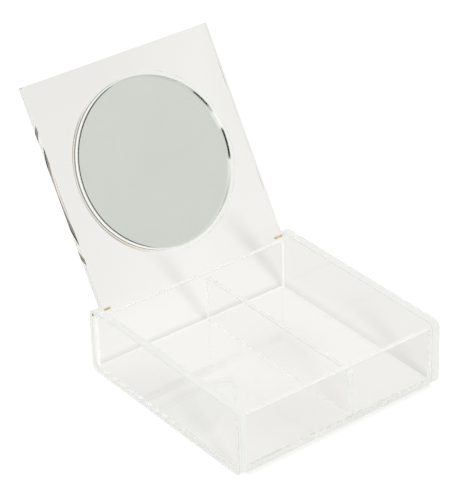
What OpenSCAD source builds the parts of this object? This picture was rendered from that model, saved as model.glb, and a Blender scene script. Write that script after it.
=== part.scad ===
// Clear acrylic vanity box with a round mirror let into the inner face of its tilting lid.
// Cut, flame-polished and cemented from cast sheet: two thick side panels stand a little proud of
// the tray between them, and the lid drops in between the side panels and turns on two brass pins.
// X runs left to right, Y front to back, Z up. The origin is the middle of the underside.
// The lid is drawn open, leaning back on its heel, and turns by open_angle about the pins to shut.

/* [Box] */
// Overall width, over the side panels
box_w = 125; // [105:1:200]
// Depth of the side panels, front to back
box_d = 121; // [105:1:200]
// Height of the side panels
box_h = 36; // [24:1:80]
// Radius of the side panels' corners
side_corner_r = 4; // [2:0.5:8]
// How far the front and back walls stand in from the side panels' edges
wall_inset = 1.8; // [1:0.1:3]

/* [Sheet] */
// Thickness of the side panels
side_t = 5; // [4:0.5:8]
// Thickness of the front and back walls
wall_t = 3; // [2.5:0.5:5]
// Thickness of the floor panel
floor_t = 3; // [2:0.5:5]
// Thickness of the divider
divider_t = 3; // [2:0.5:5]
// Chamfer that eases every open polished edge
edge_c = 0.2; // [0.1:0.05:0.6]

/* [Tray] */
// Clear width of the left bay
left_bay_w = 64; // [30:0.5:85]
// How far the divider's top lies below the front wall's top
divider_drop = 3.2; // [1:0.1:12]

/* [Lid] */
// Thickness of the lid panel
lid_t = 4; // [3.5:0.25:6]
// Gap between the lid and each side panel
lid_side_gap = 0.5; // [0.3:0.1:1]
// Gap between the shut lid and the front wall's top
lid_rest_gap = 0.1; // [0.05:0.05:0.3]
// Radius of the lid's two free corners
lid_corner_r = 0.8; // [0.7:0.1:8]
// Angle from shut to fully open
open_angle = 121; // [114:1:130]
// Length of the heel behind the pins, whose top edge stops on the back wall
heel_l = 1.95; // [1.9:0.05:2.3]
// Gap left at the stop
stop_gap = 0.05; // [0.02:0.01:0.1]

/* [Pins] */
// Diameter of the brass pins
pin_d = 1.5; // [1:0.1:2]
// How far the pins stand in from the back edges of the side panels
pin_back = 3.4; // [3.2:0.1:4]
// Height of the pins above the underside of the shut lid
pin_low = 1.7; // [1.5:0.1:2]
// Length of each pin inside the lid
pin_grip = 4.5; // [3:0.5:8]
// Radial running clearance of the pins in the lid
pin_clear = 0.05; // [0.02:0.01:0.1]
// End play of the pins in the lid's blind bores
pin_end_play = 0.5; // [0.2:0.1:1]

/* [Mirror] */
// Diameter of the mirror glass
mirror_d = 90; // [60:1:94]
// Thickness of the mirror glass
mirror_t = 3; // [2:0.1:3]
// Radius of the polished round that eases the mirror's front edge
mirror_edge_r = 1.5; // [0.3:0.1:1.8]
// How far the mirror's face stands proud of the lid's inner face
mirror_proud = 1; // [0:0.1:1.5]
// Gap round the mirror in its pocket
pocket_gap = 2; // [0.5:0.1:3]
// Offset of the mirror from the lid's middle, towards the lid's free edge
mirror_up = 2.1; // [-6:0.1:6]
// Thickness of the silver and its protective paint
paint_t = 0.1; // [0.05:0.05:0.3]
// Bare rim of glass outside the paint
paint_rim = 0.2; // [0.1:0.1:1]
// Thickness of the adhesive disc
adhesive_t = 0.1; // [0.1:0.05:0.5]
// How far the adhesive disc stays in from the mirror's edge
adhesive_rim = 6; // [2:0.5:20]

/* [Hidden] */

// Facets of the rounded corners, and of the true rounds
corner_fn = 32;
round_fn = 96;
// How far a cutting tool runs past the face it opens
past = 1;

// The tray between the side panels
inner_w = box_w - 2 * side_t;
wall_front_y = -box_d / 2 + wall_inset;
wall_back_y = box_d / 2 - wall_inset;
bay_d = wall_back_y - wall_front_y - 2 * wall_t;
divider_x = -inner_w / 2 + left_bay_w;

// The lid, flush with the side panels when shut; its own frame has the pins' axis at the origin
pin_y = box_d / 2 - pin_back;
pin_z = box_h - lid_t + pin_low;
lid_w = inner_w - 2 * lid_side_gap;
lid_reach = pin_y + box_d / 2;
lid_l = lid_reach + heel_l;
heel_drop = heel_l * sin(open_angle) - (lid_t - pin_low) * cos(open_angle);

// Heights that follow from the lid
front_wall_top = box_h - lid_t - lid_rest_gap;
back_wall_top = pin_z - heel_drop - stop_gap;
divider_top = front_wall_top - divider_drop;

// The mirror's pocket in the lid, and its middle in the lid's own frame
pocket_depth = mirror_t + paint_t + adhesive_t - mirror_proud;
pocket_r = mirror_d / 2 + pocket_gap;
mirror_y = (heel_l - lid_reach) / 2 - mirror_up;

// Steps of the mirror's rounded edge
edge_steps = 10;

clear = [0.93, 0.94, 0.93, 0.35];

// Flat sheet with round corners and every edge eased, lying on XY with one corner at the origin
module eased_sheet(l, w, t, r) {
    hull()
        for (x = [r, l - r], y = [r, w - r])
            translate([x, y, 0]) {
                translate([0, 0, edge_c]) cylinder(h = t - 2 * edge_c, r = r, $fn = corner_fn);
                cylinder(h = t, r = r - edge_c, $fn = corner_fn);
            }
}

// Upright sheet section: t thick, from z0 to z1, with its top edges eased
module wall_section(t, z0, z1) {
    polygon([[0, z0], [t, z0], [t, z1 - edge_c], [t - edge_c, z1], [edge_c, z1], [0, z1 - edge_c]]);
}

// Cross wall between the side panels, its outer face at y
module cross_wall(y, z1) {
    translate([-inner_w / 2, y, 0])
        rotate([90, 0, 90]) linear_extrude(inner_w) wall_section(wall_t, floor_t, z1);
}

// Side panel with its inner face at x = 0 and its outer face at x = -side_t
module side_panel() {
    difference() {
        translate([-side_t, -box_d / 2, 0])
            rotate([90, 0, 90]) eased_sheet(box_d, box_h, side_t, side_corner_r);
        translate([-side_t - past, pin_y, pin_z])
            rotate([0, 90, 0]) cylinder(h = side_t + 2 * past, d = pin_d, $fn = round_fn);
    }
}

// Hinge pin that starts flush with the outer face of the left side panel
module hinge_pin() {
    pin_l = side_t + lid_side_gap + pin_grip;
    tip = pin_d / 8;
    color("darkgoldenrod")
        translate([-box_w / 2, pin_y, pin_z]) rotate([0, 90, 0])
            rotate_extrude($fn = round_fn)
                polygon([[0, 0], [pin_d / 2, 0], [pin_d / 2, pin_l - tip], [pin_d / 2 - tip, pin_l], [0, pin_l]]);
}

// Carries its children from the shut lid's own frame to the open lid
module open_lid() {
    translate([0, pin_y, pin_z]) rotate([-open_angle, 0, 0]) children();
}

// Blind bore for one pin, from the lid's left edge
module pin_bore() {
    translate([-lid_w / 2 - past, 0, 0]) rotate([0, 90, 0])
        cylinder(h = past + pin_grip + pin_end_play, r = pin_d / 2 + pin_clear, $fn = round_fn);
}

// Middle of the mirror's face, in the lid's own frame
module at_mirror() {
    translate([0, mirror_y, -pin_low - mirror_proud]) children();
}

module left_side_panel() {
    color(clear) translate([-inner_w / 2, 0, 0]) side_panel();
}

module right_side_panel() {
    color(clear) translate([inner_w / 2, 0, 0]) mirror([1, 0, 0]) side_panel();
}

module floor_panel() {
    color(clear)
        translate([-inner_w / 2, wall_front_y, 0])
            cube([inner_w, wall_back_y - wall_front_y, floor_t]);
}

module front_wall() {
    color(clear) cross_wall(wall_front_y, front_wall_top);
}

module back_wall() {
    color(clear) cross_wall(wall_back_y - wall_t, back_wall_top);
}

module divider() {
    color(clear)
        translate([divider_x, wall_back_y - wall_t, 0])
            rotate([90, 0, 0]) linear_extrude(bay_d) wall_section(divider_t, floor_t, divider_top);
}

// The heel keeps its square edges, because its top edge is the stop
module lid_panel() {
    r = lid_corner_r;
    color(clear) open_lid() difference() {
        translate([-lid_w / 2, -lid_reach, -pin_low])
            hull() {
                for (x = [r, lid_w - r])
                    translate([x, r, 0]) {
                        translate([0, 0, edge_c]) cylinder(h = lid_t - 2 * edge_c, r = r, $fn = corner_fn);
                        cylinder(h = lid_t, r = r - edge_c, $fn = corner_fn);
                    }
                translate([0, lid_l - r, edge_c]) cube([lid_w, r, lid_t - 2 * edge_c]);
                translate([edge_c, lid_l - r, 0]) cube([lid_w - 2 * edge_c, r, lid_t]);
            }
        at_mirror() translate([0, 0, -past])
            cylinder(h = past + mirror_proud + pocket_depth, r = pocket_r, $fn = round_fn);
        pin_bore();
        mirror([1, 0, 0]) pin_bore();
    }
}

module mirror_glass() {
    r = mirror_d / 2;
    e = mirror_edge_r;
    round_edge = [for (i = [0:edge_steps]) let (a = 90 * i / edge_steps) [r - e + e * sin(a), e - e * cos(a)]];
    color("lightsteelblue") open_lid() at_mirror()
        rotate_extrude($fn = round_fn)
            polygon(concat([[0, 0]], round_edge, [[r, mirror_t], [0, mirror_t]]));
}

module mirror_paint() {
    color("dimgray") open_lid() at_mirror() translate([0, 0, mirror_t])
        cylinder(h = paint_t, r = mirror_d / 2 - paint_rim, $fn = round_fn);
}

module mirror_adhesive() {
    color("whitesmoke") open_lid() at_mirror() translate([0, 0, mirror_t + paint_t])
        cylinder(h = adhesive_t, r = mirror_d / 2 - adhesive_rim, $fn = round_fn);
}

module left_hinge_pin() {
    hinge_pin();
}

module right_hinge_pin() {
    mirror([1, 0, 0]) hinge_pin();
}

left_side_panel();
right_side_panel();
floor_panel();
front_wall();
back_wall();
divider();
lid_panel();
mirror_glass();
mirror_paint();
mirror_adhesive();
left_hinge_pin();
right_hinge_pin();
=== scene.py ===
"""Clear acrylic vanity box with a round mirror let into its tilted lid, dressed for a studio picture."""

import math

import bpy
from mathutils import Matrix, Vector


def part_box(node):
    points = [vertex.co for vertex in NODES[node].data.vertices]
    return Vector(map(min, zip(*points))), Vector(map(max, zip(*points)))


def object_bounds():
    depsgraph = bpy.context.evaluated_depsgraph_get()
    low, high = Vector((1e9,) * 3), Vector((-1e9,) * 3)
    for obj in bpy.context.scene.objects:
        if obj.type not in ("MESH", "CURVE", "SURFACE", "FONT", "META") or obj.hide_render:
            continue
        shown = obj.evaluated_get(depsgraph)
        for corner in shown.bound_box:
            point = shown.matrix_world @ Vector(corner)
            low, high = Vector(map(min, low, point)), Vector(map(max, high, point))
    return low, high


bl_info = {
    "name": "Acrylic vanity box",
    "version": (1, 0, 0),
    "blender": (4, 5, 0),
    "location": "3D View > Sidebar > Vanity Box",
    "description": "Finishes for a clear acrylic vanity box with a mirror in its lid",
    "category": "Object",
}

MM = 0.001
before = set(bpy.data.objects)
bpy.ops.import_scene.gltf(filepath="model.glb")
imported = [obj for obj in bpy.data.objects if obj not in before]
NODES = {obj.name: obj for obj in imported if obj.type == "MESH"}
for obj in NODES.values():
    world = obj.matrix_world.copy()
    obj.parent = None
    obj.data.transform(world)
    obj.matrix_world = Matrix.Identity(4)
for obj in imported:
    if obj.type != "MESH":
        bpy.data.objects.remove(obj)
CAD_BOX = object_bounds()

# The open lid leans back 121 degrees from shut: the ways out of its inner face and up along it
LID_LEAN = math.radians(121)
LID_OUT = (0.0, -math.sin(LID_LEAN), -math.cos(LID_LEAN))
LID_UP = (0.0, -math.cos(LID_LEAN), math.sin(LID_LEAN))

# Every kind of sheet with the way across its thickness, how far the painted glow of caught light hides what its edge
# would show, how bright that painted glow is, and the sheets
SHEETS = {
    "side panels": ((1.0, 0.0, 0.0), 0.72, 0.97, ("left_side_panel", "right_side_panel", "divider")),
    "end walls": ((0.0, 1.0, 0.0), 0.78, 1.03, ("front_wall", "back_wall")),
    "floor": ((0.0, 0.0, 1.0), 0.70, 0.92, ("floor_panel",)),
    "lid": (LID_OUT, 0.0, 0.97, ("lid_panel",)),
}

# The cemented panels with the ways that their joined faces look, and how far cement carries them into each other
LEFT, RIGHT, FRONT, BACK, DOWN = (-1, 0, 0), (1, 0, 0), (0, -1, 0), (0, 1, 0), (0, 0, -1)
CEMENTED = {
    "floor_panel": (LEFT, RIGHT),
    "front_wall": (LEFT, RIGHT, DOWN),
    "back_wall": (LEFT, RIGHT, DOWN),
    "divider": (FRONT, BACK, DOWN),
}
BOND = 0.02 * MM

# The mirror's middle and radius, in its own coordinates, which a joint's pose leaves alone; the pocket round it,
# and how far the lid's inner face and the pocket's floor lie out from the middle of the glass
MIRROR_CORNERS = [Vector(c) for c in NODES["mirror_glass"].bound_box]
MIRROR_MIDDLE = (MIRROR_CORNERS[0] + MIRROR_CORNERS[6]) / 2
MIRROR_RADIUS = (MIRROR_CORNERS[6].x - MIRROR_CORNERS[0].x) / 2
POCKET_RADIUS = MIRROR_RADIUS + 2 * MM
LID_FACE = 0.5 * MM
POCKET_FLOOR = -1.7 * MM

# Levels round the mirror, in degrees from the right towards the top of the lid: how bright a painted glow makes the
# pocket's milled wall, how strong the drawn grey-brown crescent on its floor is, and where that crescent is tan
MILLED_WALL_GLOW = ((-180, 0.7), (-60, 0.7), (-45, 1.0), (60, 1.0), (80, 0.7), (180, 0.7))
FLOOR_CRESCENT = ((-180, 0.8), (-135, 0.8), (-112, 0.0), (125, 0.0), (140, 0.8), (180, 0.8))
TAN_CRESCENT = ((-180, 0.0), (-150, 0.0), (-125, 1.0), (125, 1.0), (145, 0.0), (180, 0.0))
# painted highlights on the glass's round front edge, as a strip lamp and the tent's wall would give
LAMP_HIGHLIGHT_ON_ROUND = ((-40, 0.0), (-28, 0.2), (-17, 0.35), (-15, 0.0), (4, 0.0), (6, 0.9), (16, 0.9), (18, 0.2),
                 (21, 0.2), (23, 0.0))
TENT_HIGHLIGHT_ON_ROUND = ((-180, 0.95), (-120, 0.95), (-95, 0.4), (-75, 0.5), (-17, 0.7), (-15, 0.0), (4, 0.0), (6, 0.9),
                 (15, 0.9), (17, 0.3), (21, 0.3), (23, 0.0), (35, 0.0), (37, 0.6), (100, 0.6), (125, 0.95),
                 (180, 0.95))
# and how bright a painted glow makes the seal's inner side, seen from within the glass
SEAL_INNER_GLOW = ((-110, 0.0), (-75, 0.4), (-60, 0.7), (-52, 0.5), (-45, 1.0), (-17, 1.2), (-15, 0.0), (4, 0.0), (6, 1.5),
            (16, 1.5), (18, 0.6), (21, 0.6), (23, 0.0), (35, 0.0), (37, 0.6), (50, 0.7), (60, 0.9), (105, 0.9),
            (115, 0.0))

# Where the photograph was taken from, fitted to the box's edges: degrees, metres, and millimetres of lens
CAMERA_AZIMUTH = -36.678
CAMERA_ELEVATION = 30.784
CAMERA_ROLL = -1.854
CAMERA_DISTANCE = 1.17655
CAMERA_TARGET = (-0.006637, 0.016144, 0.068259)
CAMERA_LENS = 173.30

# What the mirror's face shows the camera, the way from there towards the tent's dark opening, and the angles from
# it, in radians, between which the opening darkens and clears again
MIRROR_SEES = (0.513, -0.775, 0.368)
DARK_SIDE = (0.857, 0.441, -0.265)
DARKENS = (0.056, 0.072)
CLEARS = (0.24, 0.29)

# Foot of each upright edge that throws a shadow, in mm, with the shadow's depth, and the way the low light runs
EDGE_SHADOWS = ((60, 58, 0.13), (8.5, 58, 0.10), (60, -59, 0.09), (8.5, -58, 0.04), (-60, -59, 0.07), (-60, 58, 0.06))
LIGHT_RUNS = (0.27, 0.963)

# Soft shadows on the table under the box: x, y and radius in mm, and depth
SOFT_SHADOWS = ((-12, -34, 48, 0.065), (22, 12, 32, 0.06), (-52, 28, 30, 0.06), (-54, -28, 22, -0.045))

# What the lid shows of the table lies along lines with this slope, from front to back
LID_VIEW_SLOPE = -0.745


def colour(hex_code):
    """Turns an sRGB hex colour into the linear RGBA that sockets take."""
    channels = [int(hex_code[i : i + 2], 16) / 255 for i in (0, 2, 4)]
    linear = [c / 12.92 if c <= 0.04045 else ((c + 0.055) / 1.055) ** 2.4 for c in channels]
    return (*linear, 1.0)


def per(size):
    """Scale at which one cell of a pattern is this many millimetres long."""
    return 1 / (size * MM)


def node(tree, kind, *sources, **settings):
    """Adds a node to a tree and returns it.

    The kind may name an operation too, and the settings are the node's other properties. The sources go to its
    inputs, in order or as a dict of their names: numbers and colours are set there, and sockets are linked, or
    the first output of a node.
    """
    kind, _, operation = kind.partition(" ")
    made = tree.nodes.new("ShaderNode" + kind)
    if operation:
        made.operation = operation
    for name, value in settings.items():
        setattr(made, name, value)
    if sources and isinstance(sources[0], dict):
        pairs = [(made.inputs[name], source) for name, source in sources[0].items()]
    else:
        pairs = zip([socket for socket in made.inputs if socket.enabled], sources)
    for socket, source in pairs:
        if isinstance(source, bpy.types.Node):
            source = next(output for output in source.outputs if output.enabled)
        if isinstance(source, bpy.types.NodeSocket):
            tree.links.new(source, socket)
        else:
            socket.default_value = source
    return made


def new_material(name):
    """An empty node material and its tree."""
    material = bpy.data.materials.new(name)
    material.use_nodes = True
    material.node_tree.nodes.clear()
    return material, material.node_tree


def from_mirror(tree, at):
    """How far a spot lies to the right of the mirror's middle, up the lid from it, and out of the lid."""
    placed = node(tree, "VectorMath SUBTRACT", at, MIRROR_MIDDLE)
    return [node(tree, "VectorMath DOT_PRODUCT", placed, way) for way in (RIGHT, LID_UP, LID_OUT)]


def round_rim(tree, at, stops):
    """Level that changes round the mirror, from stops of degrees and levels."""
    across, up, _ = from_mirror(tree, at)
    turn = node(tree, "Math DIVIDE", node(tree, "Math ARCTAN2", up, across), math.tau)
    levels = node(tree, "ValToRGB", node(tree, "Math ADD", turn, 0.5))
    elements = levels.color_ramp.elements
    for degrees, level in stops:
        elements.new(degrees / 360 + 0.5).color = (level, level, level, 1)
    for end, level in ((elements[0], stops[0][1]), (elements[len(elements) - 1], stops[-1][1])):
        end.color = (level, level, level, 1)
    return levels


def dress(piece, *materials):
    """Gives a piece its materials, in the order of its slots."""
    piece.data.materials.clear()
    for material in materials:
        piece.data.materials.append(material)


def swell(piece, depth):
    """Grows a piece a hair into its neighbours, so light passes the joint as through cement, or shrinks it off."""
    weld = piece.modifiers.new("weld", "WELD")
    weld.merge_threshold = 0.001 * MM
    push = piece.modifiers.new("swell", "DISPLACE")
    push.strength = depth
    push.mid_level = 0.0


def look():
    return bpy.context.scene.vanity_box_look


def studio():
    return bpy.context.scene.vanity_box_studio


class VanityBoxLook(bpy.types.PropertyGroup):
    tint: bpy.props.FloatVectorProperty(
        name="Acrylic tint",
        description="Colour of light after one pass through a sheet",
        subtype="COLOR", size=3, min=0, max=1, default=colour("FDFDFC")[:3],
    )
    depth_tint: bpy.props.FloatVectorProperty(
        name="Acrylic depth tint",
        description="Colour that the acrylic takes along its length",
        subtype="COLOR", size=3, min=0, max=1, default=colour("D8DCD2")[:3],
    )
    edge_glow: bpy.props.FloatVectorProperty(
        name="Edge grey",
        description="Mean colour of the light that stays caught in a sheet until it leaves by an edge",
        subtype="COLOR", size=3, min=0, max=1, default=colour("F4F5F1")[:3],
    )
    back_paint: bpy.props.FloatVectorProperty(
        name="Mirror back paint",
        description="Colour of the paint that protects the silver",
        subtype="COLOR", size=3, min=0, max=1, default=colour("4F473C")[:3],
    )
    edge_seal: bpy.props.FloatVectorProperty(
        name="Mirror edge seal",
        description="Colour of the thin paint on the mirror's ground edge",
        subtype="COLOR", size=3, min=0, max=1, default=colour("ADA89A")[:3],
    )
    brass: bpy.props.FloatVectorProperty(
        name="Brass",
        description="Colour of the hinge pins",
        subtype="COLOR", size=3, min=0, max=1, default=colour("E9CF92")[:3],
    )


class VanityBoxStudio(bpy.types.PropertyGroup):
    floor_gap: bpy.props.FloatProperty(
        name="Floor gap",
        description="Thin layer of air between the box and the table",
        subtype="DISTANCE", unit="LENGTH", default=0.05 * MM, min=0,
    )
    backdrop: bpy.props.FloatProperty(
        name="Backdrop",
        description="Brightness of the backdrop that the camera sees, where 1 is white",
        default=1.0, min=0, max=2,
    )
    seam_light: bpy.props.FloatProperty(
        name="Seam light",
        description="How bright the whitened cement seams show against the tent",
        default=1.05, min=0, max=2,
    )
    under_box: bpy.props.FloatProperty(
        name="Table under the box",
        description="Brightness of the table where it's seen through the box",
        default=0.92, min=0, max=2,
    )
    behind_box: bpy.props.FloatProperty(
        name="Table behind the box",
        description="Brightness of the table far behind, where it's seen through the lid",
        default=0.89, min=0, max=2,
    )


class OBJECT_OT_vanity_acrylic(bpy.types.Operator):
    """Gives the sheets their clear cast acrylic and their cemented seams"""

    bl_idname = "object.vanity_acrylic"
    bl_label = "Acrylic sheets"

    def execute(self, context):
        for kind, (across, hidden, bright, names) in SHEETS.items():
            material = self.sheet("cast acrylic, polished, " + kind, across, hidden, bright)
            for name in names:
                dress(NODES[name], material)
        seam = self.seam("solvent cement seam, fine bubbles", 0.6, 0.95)
        thin_seam = self.seam("thin solvent seam", 0.12, 0.35)
        for name, joined in CEMENTED.items():
            panel = NODES[name]
            panel.data.materials.append(seam if name == "back_wall" else thin_seam)
            for face in panel.data.polygons:
                if any(face.normal.dot(Vector(way)) > 0.9 for way in joined):
                    face.material_index = 1
            swell(panel, BOND)
        return {"FINISHED"}

    def seam(self, name, low, high):
        """Cement has whitened the joint between its low and high share: a milky line with fine bubbles in it, drawn as
        a painted glow.
        """
        material, tree = new_material(name)
        at = node(tree, "TexCoord").outputs["Object"]
        # the real bubbles are finer, and these are as coarse as they need to be to show
        bubbles = node(tree, "TexVoronoi", {"Vector": at, "Scale": per(0.455)})
        patchy = node(tree, "TexNoise", {"Vector": at, "Scale": per(7.14), "Detail": 3.0})
        white = node(tree, "Math MULTIPLY", node(tree, "MapRange", patchy, 0.3, 0.7, low, high),
                     node(tree, "MapRange", bubbles, 0.15, 0.3, 0.85, 1.0))
        clear = node(tree, "BsdfPrincipled", {
            "Base Color": (*look().tint, 1), "IOR": 1.49, "Transmission Weight": 1.0,
            "Roughness": node(tree, "MapRange", patchy, 0.3, 0.7, 0.0, 0.1),
        })
        # the whitened cement is partly its own colour and partly a painted glow that shows the same under any light
        milky_glow = node(tree, "Emission", colour("FBFBF9"), studio().seam_light)
        node(tree, "OutputMaterial", node(tree, "MixShader", white, clear, milky_glow))
        return material

    def sheet(self, name, across, hidden, bright):
        """Cast and polished: faces that all but vanish, and edges painted as glowing bright lines, a little rubbed."""
        material, tree = new_material(name)
        place = node(tree, "TexCoord")
        at, normal = place.outputs["Object"], place.outputs["Normal"]
        facing = node(tree, "Math ABSOLUTE", node(tree, "VectorMath DOT_PRODUCT", normal, across))
        # broad cast faces, flame-polished edges, and the worn arrises between them
        face = node(tree, "MapRange", facing, 0.90, 0.97, 0.0, 1.0)
        edge = node(tree, "Math SUBTRACT", 1.0, face)
        arris = node(tree, "Math MULTIPLY", node(tree, "MapRange", facing, 0.20, 0.45, 0.0, 1.0),
                     node(tree, "MapRange", facing, 0.80, 0.95, 1.0, 0.0))
        # wiping has left faint diagonal streaks of haze, a few centimetres long
        streaks = node(tree, "Mapping", {
            "Vector": at, "Rotation": (0.5, 0.4, 0.8), "Scale": (per(38.5), per(111), per(38.5)),
        })
        wiped = node(tree, "TexNoise", {"Vector": streaks, "Scale": 1.0, "Detail": 3.0, "Distortion": 0.6})
        haze = node(tree, "Math MULTIPLY", node(tree, "MapRange", wiped, 0.50, 0.72, 0.0, 0.022), face)
        # scraping and flame polishing leave an edge uneven over a millimetre or so, and its arris a little rubbed
        scraped = node(tree, "TexNoise", {"Vector": at, "Scale": per(1.43), "Detail": 2.0})
        uneven = node(tree, "Math MULTIPLY", node(tree, "MapRange", scraped, 0.35, 0.65, 0.01, 0.05), edge)
        rubbed = node(tree, "Math MULTIPLY", arris, node(tree, "MapRange", scraped, 0.3, 0.7, 0.05, 0.14))
        roughness = node(tree, "Math ADD", node(tree, "Math ADD", haze, uneven), rubbed)
        # cast sheet is never quite flat: long shallow waves, and a ripple where the flame went
        waves = node(tree, "TexNoise", {"Vector": at, "Scale": per(26.3), "Detail": 1.0})
        flame = node(tree, "TexNoise", {"Vector": at, "Scale": per(2.38), "Detail": 2.0})
        height = node(tree, "Math MULTIPLY_ADD", node(tree, "Math MULTIPLY", flame, edge), 0.05, waves)
        bump = node(tree, "Bump", {"Strength": 1.0, "Distance": 0.015 * MM, "Height": height})
        shader = node(tree, "BsdfPrincipled", {
            "Base Color": (*look().tint, 1), "IOR": 1.49, "Transmission Weight": 1.0,
            "Roughness": roughness, "Normal": bump,
        })
        # light that has bounced about inside for long is painted as one even grey glow
        ray = node(tree, "LightPath")
        caught = node(tree, "MapRange", ray.outputs["Ray Depth"], 17, 27, 0.0, 1.0)
        # and that painted glow fills the edges themselves, dimmer on the rubbed arrises, with lines along them where
        # the saw and scraper went; the real lines are finer, and these are as coarse as they need to be to show
        inward = node(tree, "VectorMath DOT_PRODUCT", at, across)
        lines = node(tree, "TexNoise", {
            "W": node(tree, "Math MULTIPLY_ADD", waves, 2 * MM, inward), "Scale": per(0.667), "Detail": 2.0,
        }, noise_dimensions="1D")
        caught = node(tree, "Math MAXIMUM", caught, node(tree, "Math MULTIPLY", edge, hidden))
        level = node(tree, "Math SUBTRACT", node(tree, "MapRange", lines, 0.35, 0.65, bright - 0.05, bright + 0.03),
                     node(tree, "Math MULTIPLY", arris, 0.16))
        # painted glow on the edges, standing in for light that leaves the sheet there
        even = node(tree, "Emission", (*look().edge_glow, 1), level)
        surface = node(tree, "MixShader", caught, shader, even)
        if across == LID_OUT:
            surface = self.pocket(tree, at, surface)
        depth = node(tree, "VolumeAbsorption", (*look().depth_tint, 1), 1.6)
        node(tree, "OutputMaterial", surface, depth)
        return material

    def pocket(self, tree, at, surface):
        """The milled pocket in the lid: a thin ring of painted white glow, and at the left a drawn grey-brown crescent
        with a painted glow of its own.
        """
        across, up, out = from_mirror(tree, at)
        square = node(tree, "Math MULTIPLY_ADD", across, across, node(tree, "Math MULTIPLY", up, up))
        radius = node(tree, "Math SQRT", square)
        # the cutter has frosted the wall below the lid's face, and a painted glow, brightest at the right, draws it as
        # a white ring
        sunk = node(tree, "MapRange", out, LID_FACE - 0.3 * MM, LID_FACE - 0.05 * MM, 1.0, 0.0)
        off_wall = node(tree, "Math ABSOLUTE", node(tree, "Math SUBTRACT", radius, POCKET_RADIUS))
        wall = node(tree, "Math MULTIPLY", node(tree, "MapRange", off_wall, 0.1 * MM, 0.2 * MM, 1.0, 0.0), sunk)
        wall = node(tree, "Math MULTIPLY", wall, round_rim(tree, at, MILLED_WALL_GLOW))
        surface = node(tree, "MixShader", wall, surface, node(tree, "Emission", colour("F3F3EF"), 0.97))
        # a ragged grey-brown crescent is drawn on the pocket's floor at the left of the glass, tanner at its ends, with
        # a painted glow of its own
        ragged = node(tree, "TexNoise", {"Vector": at, "Scale": per(1.43), "Detail": 3.0})
        ragged = node(tree, "Math MULTIPLY_ADD", ragged, 0.9 * MM, radius)
        crescent_mask = node(
            tree, "Math MULTIPLY",
            node(tree, "MapRange", ragged, POCKET_RADIUS - 0.4 * MM, POCKET_RADIUS - 0.05 * MM, 1.0, 0.0),
            node(tree, "MapRange", out, POCKET_FLOOR + 0.1 * MM, POCKET_FLOOR + 0.3 * MM, 1.0, 0.0),
        )
        crescent_mask = node(tree, "Math MULTIPLY", crescent_mask, round_rim(tree, at, FLOOR_CRESCENT))
        clear_of_glass = node(tree, "MapRange", radius, MIRROR_RADIUS - 0.1 * MM, MIRROR_RADIUS, 0.0, 1.0)
        crescent_mask = node(tree, "Math MULTIPLY", crescent_mask, clear_of_glass)
        shade = node(tree, "Mix", round_rim(tree, at, TAN_CRESCENT), (*look().edge_seal, 1), colour("D8C2A0"),
                     data_type="RGBA")
        # the crescent's dark base carries a painted glow in grey-brown and tan
        paint = node(tree, "BsdfPrincipled", {
            "Base Color": colour("4A4842"), "Roughness": 0.7, "Emission Color": shade, "Emission Strength": 0.8,
        })
        return node(tree, "MixShader", crescent_mask, surface, paint)


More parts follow.
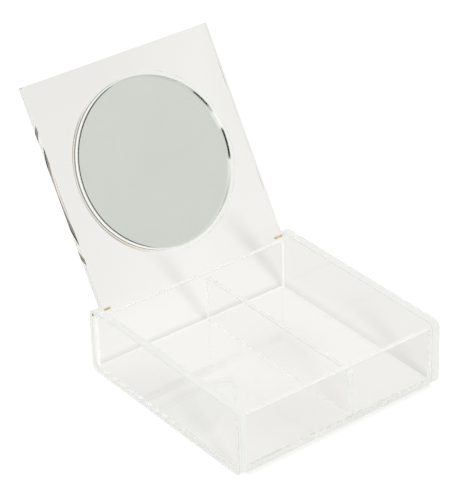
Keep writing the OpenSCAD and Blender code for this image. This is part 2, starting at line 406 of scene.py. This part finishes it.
class OBJECT_OT_vanity_mirror(bpy.types.Operator):
    """Gives the mirror its glass, silver, back paint and adhesive"""

    bl_idname = "object.vanity_mirror"
    bl_label = "Mirror"

    def execute(self, context):
        glass = NODES["mirror_glass"]
        dress(glass, self.glass(), self.seal())
        # the straight part of the rim is ground and sealed, the round above it is polished
        for face in glass.data.polygons:
            face.material_index = 1 if abs(face.normal.dot(Vector(LID_OUT))) < 0.05 else 0
        backing = NODES["mirror_paint"]
        dress(backing, self.paint(), self.silver())
        # the disc's face towards the glass is the silver
        for face in backing.data.polygons:
            face.material_index = 1 if face.normal.dot(Vector(LID_OUT)) > 0.9 else 0
        dress(NODES["mirror_adhesive"], self.adhesive())
        swell(backing, BOND)
        swell(NODES["mirror_adhesive"], BOND)
        return {"FINISHED"}

    def glass(self):
        """Float glass: a faint green, and a polished round front edge with short painted white highlights."""
        material, tree = new_material("float glass, polished")
        place = node(tree, "TexCoord")
        at, normal = place.outputs["Object"], place.outputs["Normal"]
        facing = node(tree, "Math ABSOLUTE", node(tree, "VectorMath DOT_PRODUCT", normal, LID_OUT))
        # the polishing wheel leaves the round a touch softer than the float face
        round_edge = node(tree, "MapRange", facing, 0.93, 0.999, 1.0, 0.0)
        wheel = node(tree, "TexNoise", {"Vector": at, "Scale": per(1.11), "Detail": 2.0})
        shader = node(tree, "BsdfPrincipled", {
            "Base Color": colour("F9FBFA"), "IOR": 1.52, "Transmission Weight": 1.0,
            "Roughness": node(tree, "Math MULTIPLY", round_edge, node(tree, "MapRange", wheel, 0.3, 0.7, 0.02, 0.09)),
        })
        # painted highlights: a strip lamp's on the top of the round, and the tent wall's on its steep foot
        top = node(tree, "MapRange", facing, 0.95, 0.995, 1.0, 0.0)
        foot = node(tree, "MapRange", facing, 0.67, 0.77, 1.0, 0.0)
        caught = node(tree, "Math ADD", node(tree, "Math MULTIPLY", round_rim(tree, at, LAMP_HIGHLIGHT_ON_ROUND), top),
                      node(tree, "Math MULTIPLY", round_rim(tree, at, TENT_HIGHLIGHT_ON_ROUND), foot))
        surface = node(tree, "MixShader", caught, shader, node(tree, "Emission", colour("F9FAF5"), 1.05))
        depth = node(tree, "VolumeAbsorption", colour("CDDDD4"), 22.0)
        node(tree, "OutputMaterial", surface, depth)
        return material

    def seal(self):
        """Ground and brushed over: a matt grey-brown rim with a faint painted glow of its own, and a painted glow on
        its inner side, seen in the glass.
        """
        material, tree = new_material("ground edge, sealed with thin paint")
        at = node(tree, "TexCoord").outputs["Object"]
        # the real grit is finer, and this is as coarse as it needs to be to show
        grit = node(tree, "TexNoise", {"Vector": at, "Scale": per(0.385), "Detail": 3.0})
        mottled = node(tree, "TexNoise", {"Vector": at, "Scale": per(5.56), "Detail": 3.0})
        shade = node(tree, "Mix", node(tree, "MapRange", mottled, 0.35, 0.65, 0.6, 1.0), colour("9A9385"),
                     (*look().edge_seal, 1), data_type="RGBA")
        # the matt grey-brown paint has a faint painted glow of its own
        outer = node(tree, "BsdfPrincipled", {
            "Base Color": shade, "IOR": 1.5, "Emission Color": shade, "Emission Strength": 0.12,
            "Roughness": node(tree, "MapRange", grit, 0.3, 0.7, 0.55, 0.85),
            "Normal": node(tree, "Bump", {"Strength": 0.5, "Distance": 0.02 * MM, "Height": grit}),
        })
        # painted glow on the seal's inner side, lighter and darker by angle round the mirror
        inner = node(tree, "Emission", colour("EFF3EE"), round_rim(tree, at, SEAL_INNER_GLOW))
        inside = node(tree, "NewGeometry").outputs["Backfacing"]
        node(tree, "OutputMaterial", node(tree, "MixShader", inside, outer, inner))
        return material

    def silver(self):
        """Wet silvering: a clean mirror that settles a shade thinner in broad soft clouds."""
        material, tree = new_material("mirror silver, wet deposited")
        at = node(tree, "TexCoord").outputs["Object"]
        thickness = node(tree, "TexNoise", {"Vector": at, "Scale": per(33.3), "Detail": 2.0})
        cloud = node(tree, "MapRange", thickness, 0.35, 0.65, 0.0, 1.0)
        grain = node(tree, "TexNoise", {"Vector": at, "Scale": per(0.667), "Detail": 2.0})
        shader = node(tree, "BsdfPrincipled", {
            "Base Color": node(tree, "Mix", cloud, colour("EEEFEA"), colour("F0F1ED"), data_type="RGBA"),
            "Metallic": 1.0, "Roughness": node(tree, "MapRange", grain, 0.3, 0.7, 0.0, 0.004),
        })
        node(tree, "OutputMaterial", shader)
        return material

    def paint(self):
        """Curtain coated paint: a dull dark disc from behind, with a fine orange peel."""
        material, tree = new_material("mirror back paint, curtain coated")
        at = node(tree, "TexCoord").outputs["Object"]
        peel = node(tree, "TexNoise", {"Vector": at, "Scale": per(0.909), "Detail": 3.0})
        coat = node(tree, "TexNoise", {"Vector": at, "Scale": per(6.25), "Detail": 3.0})
        thin = node(tree, "MapRange", coat, 0.3, 0.7, 0.0, 1.0)
        shader = node(tree, "BsdfPrincipled", {
            "Base Color": node(tree, "Mix", thin, (*look().back_paint, 1), colour("5A5145"), data_type="RGBA"),
            "IOR": 1.5, "Roughness": node(tree, "MapRange", peel, 0.3, 0.7, 0.45, 0.7),
            "Normal": node(tree, "Bump", {"Strength": 0.6, "Distance": 0.01 * MM, "Height": peel}),
        })
        node(tree, "OutputMaterial", shader)
        return material

    def adhesive(self):
        """Rolled-on clear adhesive: a slightly uneven clear layer between paint and lid."""
        material, tree = new_material("clear mounting adhesive, rolled on")
        at = node(tree, "TexCoord").outputs["Object"]
        roll = node(tree, "TexNoise", {"Vector": at, "Scale": per(4.17), "Detail": 3.0})
        shader = node(tree, "BsdfPrincipled", {
            "Base Color": colour("F4F2EA"), "IOR": 1.49, "Transmission Weight": 1.0,
            "Roughness": node(tree, "MapRange", roll, 0.3, 0.7, 0.02, 0.12),
            "Normal": node(tree, "Bump", {"Strength": 0.4, "Distance": 0.01 * MM, "Height": roll}),
        })
        node(tree, "OutputMaterial", shader)
        return material


class OBJECT_OT_vanity_pins(bpy.types.Operator):
    """Gives the hinge pins their brass"""

    bl_idname = "object.vanity_pins"
    bl_label = "Hinge pins"

    def execute(self, context):
        brass = self.brass()
        for name in ("left_hinge_pin", "right_hinge_pin"):
            dress(NODES[name], brass)
            # a hair of air stays between wire and bore
            swell(NODES[name], -BOND)
        return {"FINISHED"}

    def brass(self):
        """Drawn wire: bright gold with fine lines along it, and duller, browner cut ends."""
        material, tree = new_material("drawn brass wire, cut and tumbled")
        place = node(tree, "TexCoord")
        at, normal = place.outputs["Object"], place.outputs["Normal"]
        # the real scores are finer, and these are as coarse as they need to be to show
        drawn = node(tree, "Mapping", {"Vector": at, "Scale": (per(3.33), per(0.111), per(0.111))})
        lines = node(tree, "TexNoise", {"Vector": drawn, "Scale": 1.0, "Detail": 2.0})
        facing_end = node(tree, "Math ABSOLUTE", node(tree, "VectorMath DOT_PRODUCT", normal, RIGHT))
        cut = node(tree, "MapRange", facing_end, 0.5, 0.9, 0.0, 1.0)
        shader = node(tree, "BsdfPrincipled", {
            "Base Color": node(tree, "Mix", cut, (*look().brass, 1), colour("9A7A4C"), data_type="RGBA"),
            "Metallic": 1.0,
            "Roughness": node(tree, "Math MULTIPLY_ADD", cut, 0.2, node(tree, "MapRange", lines, 0.3, 0.7, 0.14, 0.30)),
            "Normal": node(tree, "Bump", {"Strength": 0.3, "Distance": 0.004 * MM, "Height": lines}),
        })
        node(tree, "OutputMaterial", shader)
        return material


class OBJECT_OT_vanity_stage(bpy.types.Operator):
    """Builds the table, the lights and the camera"""

    bl_idname = "object.vanity_stage"
    bl_label = "Stage"

    def execute(self, context):
        scene = context.scene
        scene.view_settings.view_transform = "Standard"
        # light crosses up to a dozen faces of sheet before it reaches the table
        scene.cycles.max_bounces = 40
        scene.cycles.glossy_bounces = 40
        scene.cycles.transmission_bounces = 40
        self.world(scene)
        self.table(scene)
        self.camera(scene)
        return {"FINISHED"}

    def world(self, scene):
        """A light tent round the box, white for the camera."""
        world = bpy.data.worlds.new("studio")
        scene.world = world
        world.use_nodes = True
        tree = world.node_tree
        tree.nodes.clear()
        toward = node(tree, "TexCoord").outputs["Generated"]
        split = node(tree, "SeparateXYZ", toward)
        # brightest overhead and behind, greyer towards the open front
        overhead = node(tree, "MapRange", split.outputs["Z"], 0.0, 0.9, 0.78, 1.05)
        behind = node(tree, "MapRange", split.outputs["Y"], -0.8, 0.4, 0.90, 1.08)
        level = node(tree, "Math MULTIPLY", overhead, behind)
        # the tent's dark opening, just to the right of what the mirror's face shows
        away = node(tree, "VectorMath DOT_PRODUCT", toward, MIRROR_SEES)
        away = node(tree, "Math ARCCOSINE", node(tree, "Math MINIMUM", away, 1.0))
        side = node(tree, "VectorMath DOT_PRODUCT", toward, DARK_SIDE)
        side = node(tree, "Math MULTIPLY_ADD", node(tree, "Math SINE", away), -0.34, side)
        dark = node(tree, "Math MULTIPLY", node(tree, "MapRange", away, *DARKENS, 0.0, 0.97),
                    node(tree, "MapRange", away, *CLEARS, 1.0, 0.0))
        dark = node(tree, "Math MULTIPLY", dark, node(tree, "MapRange", side, -0.01, 0.02, 0.0, 1.0))
        level = node(tree, "Math MULTIPLY", level, node(tree, "Math SUBTRACT", 1.0, dark))
        tent = node(tree, "Background", colour("FFFEFC"), level)
        white = node(tree, "Background", colour("FFFFFF"), studio().backdrop)
        camera_ray = node(tree, "LightPath").outputs["Is Camera Ray"]
        node(tree, "OutputWorld", node(tree, "MixShader", camera_ray, tent, white))

    def table(self, scene):
        """White sweep paper: lit plainly for the camera, and for what is seen through the box and lid a glow with a
        painted pool of light, painted shadows and a dimmer painted reflection.
        """
        mesh = bpy.data.meshes.new("table")
        half, z = 3.0, -studio().floor_gap
        corners = [(-half, -half, z), (half, -half, z), (half, half, z), (-half, half, z)]
        mesh.from_pydata(corners, [], [(0, 1, 2, 3)])
        table = bpy.data.objects.new("table", mesh)
        scene.collection.objects.link(table)
        material, tree = new_material("white sweep paper")
        ray = node(tree, "LightPath")
        at = node(tree, "TexCoord").outputs["Object"]
        split = node(tree, "SeparateXYZ", at)
        x, y = split.outputs["X"], split.outputs["Y"]
        # how far a spot lies outside the box's footprint
        low, high = CAD_BOX
        beside = node(tree, "Math SUBTRACT", node(tree, "Math ABSOLUTE", x), high[0])
        ahead = node(tree, "Math SUBTRACT", node(tree, "Math ABSOLUTE", y), abs(low[1]))
        outside = node(tree, "Math MAXIMUM", beside, ahead)
        glow = node(tree, "Math MAXIMUM", self.pool(tree, x, y, beside, ahead, outside), self.under(tree, at, outside))
        for foot_x, foot_y, depth in EDGE_SHADOWS:
            shadow = self.edge_shadow(tree, x, y, foot_x * MM, foot_y * MM, depth)
            glow = node(tree, "Math MULTIPLY", glow, shadow)
        # the sheets' own faces mirror a painted, dimmer table round the box
        dim = node(tree, "Math SUBTRACT", 1.0, node(tree, "MapRange", y, -10 * MM, 60 * MM, 0.52, 0.15))
        mirrored = node(tree, "Math MULTIPLY_ADD", ray.outputs["Is Reflection Ray"],
                        node(tree, "Math SUBTRACT", dim, 1.0), 1.0)
        through = node(tree, "Emission", colour("FFFEFC"), node(tree, "Math MULTIPLY", glow, mirrored))
        lit = node(tree, "AddShader", node(tree, "BsdfDiffuse", colour("959595")),
                   node(tree, "Emission", colour("FFFFFF"), self.lift(tree, x, y, outside)))
        node(tree, "OutputMaterial", node(tree, "MixShader", ray.outputs["Is Camera Ray"], through, lit))
        dress(table, material)

    def pool(self, tree, x, y, beside, ahead, outside):
        """Light that pools on the paper round the box, weaker far behind it and to both sides of what the lid shows."""
        lateral = node(tree, "Math MULTIPLY_ADD", y, LID_VIEW_SLOPE, x)
        pool = node(tree, "MapRange", y, 100 * MM, 420 * MM, 0.95, studio().behind_box)
        pool = node(tree, "Math MULTIPLY", pool, node(tree, "MapRange", lateral, -40 * MM, -10 * MM, 1.0, 0.975))
        left = node(tree, "Math MULTIPLY", node(tree, "MapRange", lateral, -120 * MM, -45 * MM, 0.07, 0.015),
                    node(tree, "MapRange", y, 85 * MM, 110 * MM, 0.0, 1.0))
        right = node(tree, "Math MULTIPLY", node(tree, "MapRange", x, 62 * MM, 75 * MM, 0.0, 0.05),
                     node(tree, "MapRange", y, 85 * MM, 120 * MM, 1.0, 0.0))
        sides = node(tree, "Math ADD", left, right)
        pool = node(tree, "Math MULTIPLY", pool, node(tree, "Math SUBTRACT", 1.0, sides))
        # a soft shadow close round the box, deeper behind it than beside it
        corner = node(tree, "Math SUBTRACT", ahead, beside)
        close = node(tree, "Math MULTIPLY", node(tree, "MapRange", corner, -1 * MM, 1 * MM, 0.12, 0.19),
                     node(tree, "MapRange", outside, 2 * MM, 7 * MM, 1.0, 0.0))
        return node(tree, "Math MULTIPLY", pool, node(tree, "Math SUBTRACT", 1.0, close))

    def under(self, tree, at, outside):
        """Light on the paper under the box, with its soft shadows, and none outside."""
        under = node(tree, "MapRange", outside, -0.6 * MM, 0.0, studio().under_box, 0.0)
        for x, y, radius, depth in SOFT_SHADOWS:
            far = node(tree, "VectorMath DISTANCE", at, (x * MM, y * MM, 0))
            spot = node(tree, "MapRange", far, 0.0, radius * MM, 1 - depth, 1.0, interpolation_type="SMOOTHSTEP")
            under = node(tree, "Math MULTIPLY", under, spot)
        return under

    def edge_shadow(self, tree, x, y, foot_x, foot_y, depth):
        """Share of the light that a low front lamp leaves where an upright edge's shadow crosses the paper."""
        dx, dy = node(tree, "Math SUBTRACT", x, foot_x), node(tree, "Math SUBTRACT", y, foot_y)
        reach = node(tree, "Math MULTIPLY_ADD", dx, LIGHT_RUNS[0], node(tree, "Math MULTIPLY", dy, LIGHT_RUNS[1]))
        off = node(tree, "Math MULTIPLY_ADD", dx, LIGHT_RUNS[1], node(tree, "Math MULTIPLY", dy, -LIGHT_RUNS[0]))
        # it starts 3.5 mm wide to either side and widens with its reach
        width = node(tree, "Math MULTIPLY_ADD", reach, 0.09, 3.5 * MM)
        near = node(tree, "Math DIVIDE", node(tree, "Math ABSOLUTE", off), width)
        core = node(tree, "MapRange", near, 0.0, 1.0, depth, 0.0, interpolation_type="SMOOTHSTEP")
        fade = node(tree, "Math MULTIPLY", node(tree, "MapRange", reach, 0.0, 6 * MM, 0.0, 1.0),
                    node(tree, "MapRange", reach, 50 * MM, 100 * MM, 1.0, 0.0))
        return node(tree, "Math SUBTRACT", 1.0, node(tree, "Math MULTIPLY", core, fade))

    def lift(self, tree, x, y, outside):
        """Glow that lifts the paper to white for the camera, with painted shade close round the box and before the
        front wall's foot.
        """
        # painted shade: the paper is a touch dimmer under and within 10 mm of the box
        seen = node(tree, "Math ADD", 0.78, node(tree, "MapRange", outside, 0.0, 10 * MM, 0.0, 0.02))
        # the front wall stands back between the side panels
        foot_low, foot_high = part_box("front_wall")
        side = foot_high.x - 0.5 * MM
        foot = node(
            tree, "Math MULTIPLY",
            node(tree, "MapRange", y, foot_low.y - 3.8 * MM, foot_low.y - 0.3 * MM, 0.0, 0.14),
            node(tree, "MapRange", node(tree, "Math ABSOLUTE", x), side, side + 2 * MM, 1.0, 0.0),
        )
        inner = node(tree, "MapRange", y, foot_low.y + 0.7 * MM, foot_low.y + 1.7 * MM, 1.0, 0.0)
        return node(tree, "Math SUBTRACT", seen, node(tree, "Math MULTIPLY", foot, inner))

    def camera(self, scene):
        az, el = math.radians(CAMERA_AZIMUTH), math.radians(CAMERA_ELEVATION)
        back = Vector((math.sin(az) * math.cos(el), -math.cos(az) * math.cos(el), math.sin(el)))
        right = Vector((0, 0, 1)).cross(back).normalized()
        right = Matrix.Rotation(math.radians(CAMERA_ROLL), 3, back) @ right
        up = back.cross(right)
        data = bpy.data.cameras.new("camera")
        data.lens = CAMERA_LENS
        data.clip_start = 0.05
        data.clip_end = 20
        camera = bpy.data.objects.new("camera", data)
        scene.collection.objects.link(camera)
        at = Vector(CAMERA_TARGET) + back * CAMERA_DISTANCE
        camera.matrix_world = Matrix((
            (right.x, up.x, back.x, at.x), (right.y, up.y, back.y, at.y), (right.z, up.z, back.z, at.z), (0, 0, 0, 1),
        ))
        scene.camera = camera


class VIEW3D_PT_vanity_box(bpy.types.Panel):
    bl_idname = "VIEW3D_PT_vanity_box"
    bl_label = "Vanity Box"
    bl_space_type = "VIEW_3D"
    bl_region_type = "UI"
    bl_category = "Vanity Box"

    def draw(self, context):
        for group in (look(), studio()):
            for name in group.bl_rna.properties.keys():
                if name not in ("rna_type", "name"):
                    self.layout.prop(group, name)
        for operator in STEPS:
            self.layout.operator(operator.bl_idname)


STEPS = (OBJECT_OT_vanity_acrylic, OBJECT_OT_vanity_mirror, OBJECT_OT_vanity_pins, OBJECT_OT_vanity_stage)
CLASSES = (VanityBoxLook, VanityBoxStudio, *STEPS, VIEW3D_PT_vanity_box)


def register():
    for item in CLASSES:
        bpy.utils.register_class(item)
    bpy.types.Scene.vanity_box_look = bpy.props.PointerProperty(type=VanityBoxLook)
    bpy.types.Scene.vanity_box_studio = bpy.props.PointerProperty(type=VanityBoxStudio)


def unregister():
    del bpy.types.Scene.vanity_box_studio
    del bpy.types.Scene.vanity_box_look
    for item in reversed(CLASSES):
        bpy.utils.unregister_class(item)


def main():
    register()
    bpy.ops.object.vanity_acrylic()
    bpy.ops.object.vanity_mirror()
    bpy.ops.object.vanity_pins()
    bpy.ops.object.vanity_stage()


if __name__ == "__main__":
    main()
